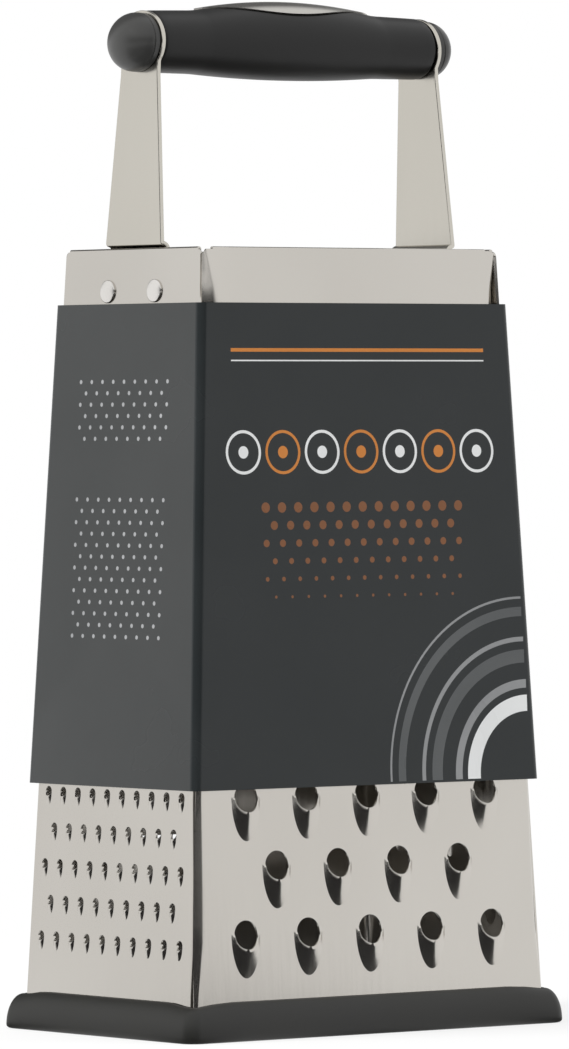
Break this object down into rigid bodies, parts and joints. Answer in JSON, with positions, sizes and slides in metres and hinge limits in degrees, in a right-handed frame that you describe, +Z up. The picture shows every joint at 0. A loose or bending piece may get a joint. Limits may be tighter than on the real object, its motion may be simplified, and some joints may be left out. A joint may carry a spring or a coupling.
{
  "type": "box grater",
  "caption": "Tapered box grater of perforated sheet steel with a strap handle, a soft barrel grip, a soft base ring that pulls off and a card sleeve that slides up.",
  "frame": {"origin": "centre of the base ring's underside, on the surface that the grater stands on", "axes": "+X along the grip towards the side with the medium teeth, +Y towards the slicing blades, so that the coarse face looks to -Y, +Z up"},
  "size_m": [0.1226, 0.0812, 0.2638],
  "materials": {
    "panel_steel": "satin stainless sheet",
    "strap_steel": "satin stainless strap",
    "rivet_steel": "polished",
    "plate_steel": "satin",
    "grip_rubber": "soft matt",
    "cap_plastic": "satin",
    "ring_rubber": "soft matt",
    "printed_card": null
  },
  "bodies": {
    "grater": {"front_panel": "panel_steel", "left_panel": "panel_steel", "right_panel": "panel_steel", "back_panel": "panel_steel", "left_leg": "strap_steel", "right_leg": "strap_steel", "left_rivets": "rivet_steel", "right_rivets": "rivet_steel", "grip": "grip_rubber", "inlay_plate": "plate_steel", "grip_core": "strap_steel", "left_screw": "rivet_steel", "right_screw": "rivet_steel", "left_cap": "cap_plastic", "right_cap": "cap_plastic"},
    "foot_ring": {"base_ring": "ring_rubber"},
    "sleeve": {"card_sleeve": "printed_card"}
  },
  "joints": [
    {"name": "ring_pull", "type": "slide", "parent": "grater", "child": "foot_ring", "axis": [0, 0, -1], "range_m": [0, 0.012]},
    {"name": "sleeve_lift", "type": "slide", "parent": "grater", "child": "sleeve", "axis": [0, 0, 1], "range_m": [0, 0.056]}
  ]
}
